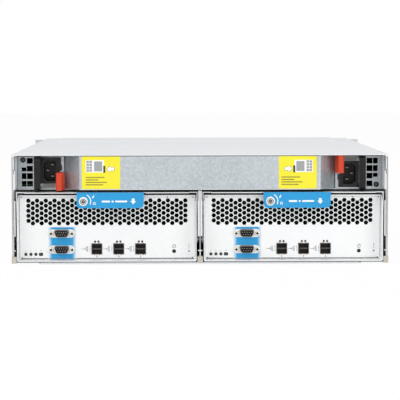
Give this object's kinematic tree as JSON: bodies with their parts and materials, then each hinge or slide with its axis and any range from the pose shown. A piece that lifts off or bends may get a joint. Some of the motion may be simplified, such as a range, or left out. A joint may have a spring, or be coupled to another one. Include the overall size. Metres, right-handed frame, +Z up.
{
  "type": "disk shelf enclosure",
  "caption": "Rack-mounted disk shelf: sheet-metal box with disk carriers at one end and controller canisters and power supplies that slide out of the other.",
  "frame": {"origin": "middle of the flat underside", "axes": "+Z up; +Y towards the disk carriers, so -Y is the rear with the canisters and power supplies; +X to the right when looking at the rear"},
  "size_m": [0.4826, 0.5345, 0.131],
  "materials": {
    "chassis_steel": "satin",
    "galvanised_steel": "zinc spangle",
    "face_nickel": "fine satin",
    "port_metal": "plated",
    "screw_steel": "plated",
    "handle_blue": "satin paint",
    "latch_orange": "moulded",
    "black_plastic": "moulded",
    "cream_plastic": "moulded",
    "board_green": "solder mask",
    "carrier_grey": "moulded"
  },
  "bodies": {
    "shelf": {"chassis_tub": "chassis_steel", "top_cover": "chassis_steel", "rack_ears": "chassis_steel", "drive_cage": "galvanised_steel", "midplane_board": "board_green", "bay_frame": "galvanised_steel", "corner_blocks": "cream_plastic", "centre_panel": "galvanised_steel"},
    "left_canister": {"left_controller_tray": "face_nickel", "left_controller_board": "board_green", "left_port_sockets": "port_metal"},
    "left_handle": {"left_pull_handle": "handle_blue"},
    "left_screw": {"left_handle_screw": "screw_steel"},
    "left_button": {"left_mute_button": "black_plastic"},
    "left_psu": {"left_psu_case": "galvanised_steel", "left_psu_inlet": "black_plastic"},
    "left_latch": {"left_psu_latch": "latch_orange"},
    "left_fan": {"left_psu_fan_rotor": "black_plastic"},
    "right_canister": {"right_controller_tray": "face_nickel", "right_controller_board": "board_green", "right_port_sockets": "port_metal"},
    "right_handle": {"right_pull_handle": "handle_blue"},
    "right_screw": {"right_handle_screw": "screw_steel"},
    "right_button": {"right_mute_button": "black_plastic"},
    "right_psu": {"right_psu_case": "galvanised_steel", "right_psu_inlet": "black_plastic"},
    "right_latch": {"right_psu_latch": "latch_orange"},
    "right_fan": {"right_psu_fan_rotor": "black_plastic"},
    "carrier_a1": {"disk_carrier_a1": "carrier_grey"},
    "lever_a1": {"carrier_lever_a1": "carrier_grey"},
    "carrier_a2": {"disk_carrier_a2": "carrier_grey"},
    "lever_a2": {"carrier_lever_a2": "carrier_grey"},
    "carrier_a3": {"disk_carrier_a3": "carrier_grey"},
    "lever_a3": {"carrier_lever_a3": "carrier_grey"},
    "carrier_a4": {"disk_carrier_a4": "carrier_grey"},
    "lever_a4": {"carrier_lever_a4": "carrier_grey"},
    "carrier_b1": {"disk_carrier_b1": "carrier_grey"},
    "lever_b1": {"carrier_lever_b1": "carrier_grey"},
    "carrier_b2": {"disk_carrier_b2": "carrier_grey"},
    "lever_b2": {"carrier_lever_b2": "carrier_grey"},
    "carrier_b3": {"disk_carrier_b3": "carrier_grey"},
    "lever_b3": {"carrier_lever_b3": "carrier_grey"},
    "carrier_b4": {"disk_carrier_b4": "carrier_grey"},
    "lever_b4": {"carrier_lever_b4": "carrier_grey"},
    "carrier_c1": {"disk_carrier_c1": "carrier_grey"},
    "lever_c1": {"carrier_lever_c1": "carrier_grey"},
    "carrier_c2": {"disk_carrier_c2": "carrier_grey"},
    "lever_c2": {"carrier_lever_c2": "carrier_grey"},
    "carrier_c3": {"disk_carrier_c3": "carrier_grey"},
    "lever_c3": {"carrier_lever_c3": "carrier_grey"},
    "carrier_c4": {"disk_carrier_c4": "carrier_grey"},
    "lever_c4": {"carrier_lever_c4": "carrier_grey"},
    "carrier_d1": {"disk_carrier_d1": "carrier_grey"},
    "lever_d1": {"carrier_lever_d1": "carrier_grey"},
    "carrier_d2": {"disk_carrier_d2": "carrier_grey"},
    "lever_d2": {"carrier_lever_d2": "carrier_grey"},
    "carrier_d3": {"disk_carrier_d3": "carrier_grey"},
    "lever_d3": {"carrier_lever_d3": "carrier_grey"},
    "carrier_d4": {"disk_carrier_d4": "carrier_grey"},
    "lever_d4": {"carrier_lever_d4": "carrier_grey"}
  },
  "joints": [
    {"name": "left_canister_slide", "type": "slide", "parent": "shelf", "child": "left_canister", "axis": [0, -1, 0], "range_m": [0, 0.27]},
    {"name": "left_handle_hinge", "type": "hinge", "parent": "left_canister", "child": "left_handle", "pos_m": [-0.1105, -0.24, 0.0272], "axis": [1, 0, 0], "range_deg": [0, 80]},
    {"name": "left_screw_turn", "type": "hinge", "parent": "left_handle", "child": "left_screw", "pos_m": [-0.13785, -0.265, 0.0747], "axis": [0, -1, 0], "range_deg": [0, 90]},
    {"name": "left_button_press", "type": "slide", "parent": "left_canister", "child": "left_button", "axis": [0, 1, 0], "range_m": [0, 0.001], "stiffness_N_per_m": 400},
    {"name": "left_psu_slide", "type": "slide", "parent": "shelf", "child": "left_psu", "axis": [0, -1, 0], "range_m": [0, 0.26]},
    {"name": "left_latch_press", "type": "hinge", "parent": "left_psu", "child": "left_latch", "pos_m": [-0.165, -0.2449, 0.0979], "axis": [0, 0, -1], "range_deg": [0, 10], "stiffness_Nm_per_rad": 0.1},
    {"name": "left_fan_spin", "type": "hinge", "parent": "left_psu", "child": "left_fan", "pos_m": [-0.1896, -0.005, 0.1078], "axis": [0, 1, 0], "continuous": true},
    {"name": "right_canister_slide", "type": "slide", "parent": "shelf", "child": "right_canister", "axis": [0, -1, 0], "range_m": [0, 0.27]},
    {"name": "right_handle_hinge", "type": "hinge", "parent": "right_canister", "child": "right_handle", "pos_m": [0.1105, -0.24, 0.0272], "axis": [1, 0, 0], "range_deg": [0, 80]},
    {"name": "right_screw_turn", "type": "hinge", "parent": "right_handle", "child": "right_screw", "pos_m": [0.08315, -0.265, 0.0747], "axis": [0, -1, 0], "range_deg": [0, 90]},
    {"name": "right_button_press", "type": "slide", "parent": "right_canister", "child": "right_button", "axis": [0, 1, 0], "range_m": [0, 0.001], "stiffness_N_per_m": 400},
    {"name": "right_psu_slide", "type": "slide", "parent": "shelf", "child": "right_psu", "axis": [0, -1, 0], "range_m": [0, 0.26]},
    {"name": "right_latch_press", "type": "hinge", "parent": "right_psu", "child": "right_latch", "pos_m": [0.165, -0.2449, 0.1179], "axis": [0, 0, 1], "range_deg": [0, 10], "stiffness_Nm_per_rad": 0.1},
    {"name": "right_fan_spin", "type": "hinge", "parent": "right_psu", "child": "right_fan", "pos_m": [0.1896, -0.005, 0.108], "axis": [0, 1, 0], "continuous": true},
    {"name": "carrier_a1_slide", "type": "slide", "parent": "shelf", "child": "carrier_a1", "axis": [0, 1, 0], "range_m": [0, 0.2]},
    {"name": "lever_a1_swing", "type": "hinge", "parent": "carrier_a1", "child": "lever_a1", "pos_m": [-0.2034, 0.264, 0.01805], "axis": [0, 0, 1], "range_deg": [0, 70]},
    {"name": "carrier_a2_slide", "type": "slide", "parent": "shelf", "child": "carrier_a2", "axis": [0, 1, 0], "range_m": [0, 0.2]},
    {"name": "lever_a2_swing", "type": "hinge", "parent": "carrier_a2", "child": "lever_a2", "pos_m": [-0.2034, 0.264, 0.04935], "axis": [0, 0, 1], "range_deg": [0, 70]},
    {"name": "carrier_a3_slide", "type": "slide", "parent": "shelf", "child": "carrier_a3", "axis": [0, 1, 0], "range_m": [0, 0.2]},
    {"name": "lever_a3_swing", "type": "hinge", "parent": "carrier_a3", "child": "lever_a3", "pos_m": [-0.2034, 0.264, 0.08065], "axis": [0, 0, 1], "range_deg": [0, 70]},
    {"name": "carrier_a4_slide", "type": "slide", "parent": "shelf", "child": "carrier_a4", "axis": [0, 1, 0], "range_m": [0, 0.2]},
    {"name": "lever_a4_swing", "type": "hinge", "parent": "carrier_a4", "child": "lever_a4", "pos_m": [-0.2034, 0.264, 0.11195], "axis": [0, 0, 1], "range_deg": [0, 70]},
    {"name": "carrier_b1_slide", "type": "slide", "parent": "shelf", "child": "carrier_b1", "axis": [0, 1, 0], "range_m": [0, 0.2]},
    {"name": "lever_b1_swing", "type": "hinge", "parent": "carrier_b1", "child": "lever_b1", "pos_m": [-0.09315, 0.264, 0.01805], "axis": [0, 0, 1], "range_deg": [0, 70]},
    {"name": "carrier_b2_slide", "type": "slide", "parent": "shelf", "child": "carrier_b2", "axis": [0, 1, 0], "range_m": [0, 0.2]},
    {"name": "lever_b2_swing", "type": "hinge", "parent": "carrier_b2", "child": "lever_b2", "pos_m": [-0.09315, 0.264, 0.04935], "axis": [0, 0, 1], "range_deg": [0, 70]},
    {"name": "carrier_b3_slide", "type": "slide", "parent": "shelf", "child": "carrier_b3", "axis": [0, 1, 0], "range_m": [0, 0.2]},
    {"name": "lever_b3_swing", "type": "hinge", "parent": "carrier_b3", "child": "lever_b3", "pos_m": [-0.09315, 0.264, 0.08065], "axis": [0, 0, 1], "range_deg": [0, 70]},
    {"name": "carrier_b4_slide", "type": "slide", "parent": "shelf", "child": "carrier_b4", "axis": [0, 1, 0], "range_m": [0, 0.2]},
    {"name": "lever_b4_swing", "type": "hinge", "parent": "carrier_b4", "child": "lever_b4", "pos_m": [-0.09315, 0.264, 0.11195], "axis": [0, 0, 1], "range_deg": [0, 70]},
    {"name": "carrier_c1_slide", "type": "slide", "parent": "shelf", "child": "carrier_c1", "axis": [0, 1, 0], "range_m": [0, 0.2]},
    {"name": "lever_c1_swing", "type": "hinge", "parent": "carrier_c1", "child": "lever_c1", "pos_m": [0.0171, 0.264, 0.01805], "axis": [0, 0, 1], "range_deg": [0, 70]},
    {"name": "carrier_c2_slide", "type": "slide", "parent": "shelf", "child": "carrier_c2", "axis": [0, 1, 0], "range_m": [0, 0.2]},
    {"name": "lever_c2_swing", "type": "hinge", "parent": "carrier_c2", "child": "lever_c2", "pos_m": [0.0171, 0.264, 0.04935], "axis": [0, 0, 1], "range_deg": [0, 70]},
    {"name": "carrier_c3_slide", "type": "slide", "parent": "shelf", "child": "carrier_c3", "axis": [0, 1, 0], "range_m": [0, 0.2]},
    {"name": "lever_c3_swing", "type": "hinge", "parent": "carrier_c3", "child": "lever_c3", "pos_m": [0.0171, 0.264, 0.08065], "axis": [0, 0, 1], "range_deg": [0, 70]},
    {"name": "carrier_c4_slide", "type": "slide", "parent": "shelf", "child": "carrier_c4", "axis": [0, 1, 0], "range_m": [0, 0.2]},
    {"name": "lever_c4_swing", "type": "hinge", "parent": "carrier_c4", "child": "lever_c4", "pos_m": [0.0171, 0.264, 0.11195], "axis": [0, 0, 1], "range_deg": [0, 70]},
    {"name": "carrier_d1_slide", "type": "slide", "parent": "shelf", "child": "carrier_d1", "axis": [0, 1, 0], "range_m": [0, 0.2]},
    {"name": "lever_d1_swing", "type": "hinge", "parent": "carrier_d1", "child": "lever_d1", "pos_m": [0.12735, 0.264, 0.01805], "axis": [0, 0, 1], "range_deg": [0, 70]},
    {"name": "carrier_d2_slide", "type": "slide", "parent": "shelf", "child": "carrier_d2", "axis": [0, 1, 0], "range_m": [0, 0.2]},
    {"name": "lever_d2_swing", "type": "hinge", "parent": "carrier_d2", "child": "lever_d2", "pos_m": [0.12735, 0.264, 0.04935], "axis": [0, 0, 1], "range_deg": [0, 70]},
    {"name": "carrier_d3_slide", "type": "slide", "parent": "shelf", "child": "carrier_d3", "axis": [0, 1, 0], "range_m": [0, 0.2]},
    {"name": "lever_d3_swing", "type": "hinge", "parent": "carrier_d3", "child": "lever_d3", "pos_m": [0.12735, 0.264, 0.08065], "axis": [0, 0, 1], "range_deg": [0, 70]},
    {"name": "carrier_d4_slide", "type": "slide", "parent": "shelf", "child": "carrier_d4", "axis": [0, 1, 0], "range_m": [0, 0.2]},
    {"name": "lever_d4_swing", "type": "hinge", "parent": "carrier_d4", "child": "lever_d4", "pos_m": [0.12735, 0.264, 0.11195], "axis": [0, 0, 1], "range_deg": [0, 70]}
  ]
}
